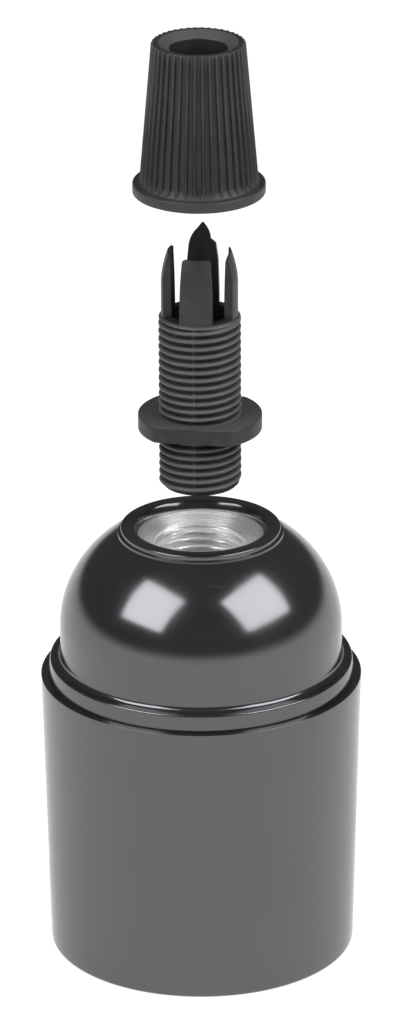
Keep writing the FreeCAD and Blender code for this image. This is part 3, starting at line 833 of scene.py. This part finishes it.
def ceramic():
    """Off-white steatite with specks, half matt."""
    material, tree, shader = new_material("steatite", (0.82, 0.81, 0.77), 0.38)
    skin = place_group(tree, MOULDED_SKIN, Mottle_Scale=250.0, Pore_Scale=4000.0, Pore_Share=0.6)
    speck = spread(tree, skin.outputs["Pores"], 0.25, 0.75, 0.0, 1.0)
    colour = mixed(tree, speck, (0.76, 0.745, 0.70), (0.85, 0.84, 0.80))
    tree.links.new(colour, shader.inputs["Base Color"])
    tree.links.new(by_noise(tree, skin.outputs["Mottle"], 0.28, 0.5), shader.inputs["Roughness"])
    bump(tree, shader, skin.outputs["Height"], 0.00004, 0.5)
    return material


# ---------------------------------------------------------------- pieces and finishes

skirt_shell = skirt_piece()
dome_shell = dome_piece()
bush_turned = bush_piece()
nipple_moulding = nipple_piece()
cap_moulding = cap_piece()

BLACK_PHENOLIC = phenolic()
NIPPLE_NYLON = nylon(
    "nipple_black_nylon",
    dark=(0.0115, 0.0115, 0.0125),
    light=(0.0205, 0.0205, 0.022),
    pale=(0.066, 0.066, 0.068),
    bore=3.65,
    painted_highlights=nipple_painted_highlights,
)
CAP_NYLON = nylon(
    "cap_black_nylon",
    dark=(0.0145, 0.0145, 0.0175),
    light=(0.0205, 0.0205, 0.024),
    pale=(0.06, 0.06, 0.064),
    bore=3.3,
    painted_highlights=cap_painted_highlights,
)
for piece, material in (
    (skirt_shell, BLACK_PHENOLIC),
    (dome_shell, BLACK_PHENOLIC),
    (bush_turned, bright_metal()),
    (nipple_moulding, NIPPLE_NYLON),
    (cap_moulding, CAP_NYLON),
):
    piece.data.materials.append(material)

NODE_FINISHES = {
    "white_ceramic": ceramic(),
    "spring_bronze": metal("spring_bronze_rolled", (0.60, 0.42, 0.22), (0.78, 0.58, 0.33), 0.22, 0.38),
    "terminal_brass": metal("terminal_brass_plain", (0.68, 0.53, 0.25), (0.84, 0.69, 0.38), 0.24, 0.42),
    "plated_steel": metal("zinc_plated_steel", (0.60, 0.60, 0.58), (0.78, 0.78, 0.76), 0.24, 0.4),
}
for entry in frame["record"]["subparts"]:
    finish = NODE_FINISHES.get(entry["material_slot"])
    if finish:
        node_object = frame["nodes"][entry["node"]]
        for slot in node_object.material_slots:
            slot.material = finish


# ---------------------------------------------------------------- stage, light, camera

def stage_floor():
    """A large plain pale floor just under the holder's mouth. Seen directly, in gloss or through glass it
    is near white, and a third of it stays plain paint, which takes the object's shadow."""
    half = 3.0
    below_foot = 0.00002
    glow_level = 1.18
    glow_share = 0.65
    mesh = bpy.data.meshes.new("stage_floor")
    corners = [(-half, -half, 0), (half, -half, 0), (half, half, 0), (-half, half, 0)]
    mesh.from_pydata(corners, [], [(0, 1, 2, 3)])
    floor = bpy.data.objects.new("stage_floor", mesh)
    floor.location.z = -below_foot
    bpy.context.scene.collection.objects.link(floor)
    material = bpy.data.materials.new("pale_floor")
    material.use_nodes = True
    tree = material.node_tree
    tree.nodes.clear()
    out = tree.nodes.new("ShaderNodeOutputMaterial")
    plain = tree.nodes.new("ShaderNodeBsdfDiffuse")
    plain.inputs["Color"].default_value = (0.92, 0.92, 0.92, 1)
    glow = tree.nodes.new("ShaderNodeEmission")
    glow.inputs["Strength"].default_value = glow_level
    path = tree.nodes.new("ShaderNodeLightPath")
    mix = tree.nodes.new("ShaderNodeMixShader")
    seen = maths(tree, "MAXIMUM", path.outputs["Is Camera Ray"], path.outputs["Is Glossy Ray"])
    seen = maths(tree, "MAXIMUM", seen, path.outputs["Is Transmission Ray"])
    tree.links.new(maths(tree, "MULTIPLY", seen, glow_share), mix.inputs[0])
    tree.links.new(plain.outputs[0], mix.inputs[1])
    tree.links.new(glow.outputs[0], mix.inputs[2])
    tree.links.new(mix.outputs[0], out.inputs["Surface"])
    floor.data.materials.append(material)


def studio_world():
    """A plain studio: a white ground behind the object, and round it a room with a bright low zone that
    falls off upwards to a soft even light."""
    world = bpy.data.worlds.new("studio")
    bpy.context.scene.world = world
    world.use_nodes = True
    tree = world.node_tree
    tree.nodes.clear()
    out = tree.nodes.new("ShaderNodeOutputWorld")
    path = tree.nodes.new("ShaderNodeLightPath")
    room = tree.nodes.new("ShaderNodeBackground")
    room.inputs["Color"].default_value = (1, 1, 1, 1)
    place = tree.nodes.new("ShaderNodeTexCoord")
    split = tree.nodes.new("ShaderNodeSeparateXYZ")
    tree.links.new(place.outputs["Generated"], split.inputs[0])
    tree.links.new(spread(tree, split.outputs["Z"], -0.01, 0.07, 0.6, 0.08), room.inputs["Strength"])
    seen = tree.nodes.new("ShaderNodeMixShader")
    white = tree.nodes.new("ShaderNodeBackground")
    white.inputs["Color"].default_value = (1, 1, 1, 1)
    tree.links.new(path.outputs["Is Camera Ray"], seen.inputs[0])
    tree.links.new(room.outputs[0], seen.inputs[1])
    tree.links.new(white.outputs[0], seen.inputs[2])
    tree.links.new(seen.outputs[0], out.inputs["Surface"])


def soft_lamp(name, place, aim, size, watts):
    """A rectangular area lamp at a place, turned to its aim, all in metres."""
    lamp = bpy.data.lights.new(name, "AREA")
    lamp.shape = "RECTANGLE"
    lamp.size, lamp.size_y = size
    lamp.energy = watts
    holder = bpy.data.objects.new(name, lamp)
    bpy.context.scene.collection.objects.link(holder)
    holder.location = place
    holder.rotation_euler = (Vector(aim) - Vector(place)).to_track_quat("-Z", "Y").to_euler()
    return holder


def studio_camera():
    """The camera, 0.9 m off and 22.5 degrees above the level, looking along +Y."""
    distance = 0.9
    elevation = math.radians(22.5)
    aim = Vector((0.00024, 0.0, 0.0560))
    lens = bpy.data.cameras.new("studio_camera")
    lens.lens = 262.6
    lens.sensor_width = 36.0
    lens.sensor_fit = "AUTO"
    lens.clip_start = 0.05
    lens.clip_end = 20.0
    holder = bpy.data.objects.new("studio_camera", lens)
    bpy.context.scene.collection.objects.link(holder)
    place = aim + Vector((0, -math.cos(elevation), math.sin(elevation))) * distance
    holder.location = place
    holder.rotation_euler = (aim - place).to_track_quat("-Z", "Y").to_euler()
    holder.rotation_euler.rotate_axis("Z", math.radians(-0.25))
    bpy.context.scene.camera = holder


stage_floor()
studio_world()
MIDDLE = (0.0, 0.0, 0.05)
soft_lamp("window_left", (-0.54, -0.38, 0.635), MIDDLE, (0.62, 0.60), 7.0)
soft_lamp("window_right", (0.59, -0.30, 0.62), MIDDLE, (0.72, 0.60), 8.0)
# The overhead lamp lights the holder and isn't mirrored in its gloss.
overhead = soft_lamp("overhead", (0.0, -0.1, 0.95), MIDDLE, (1.0, 1.0), 2.5)
overhead.visible_glossy = False
studio_camera()
bpy.context.scene.view_settings.view_transform = "Standard"
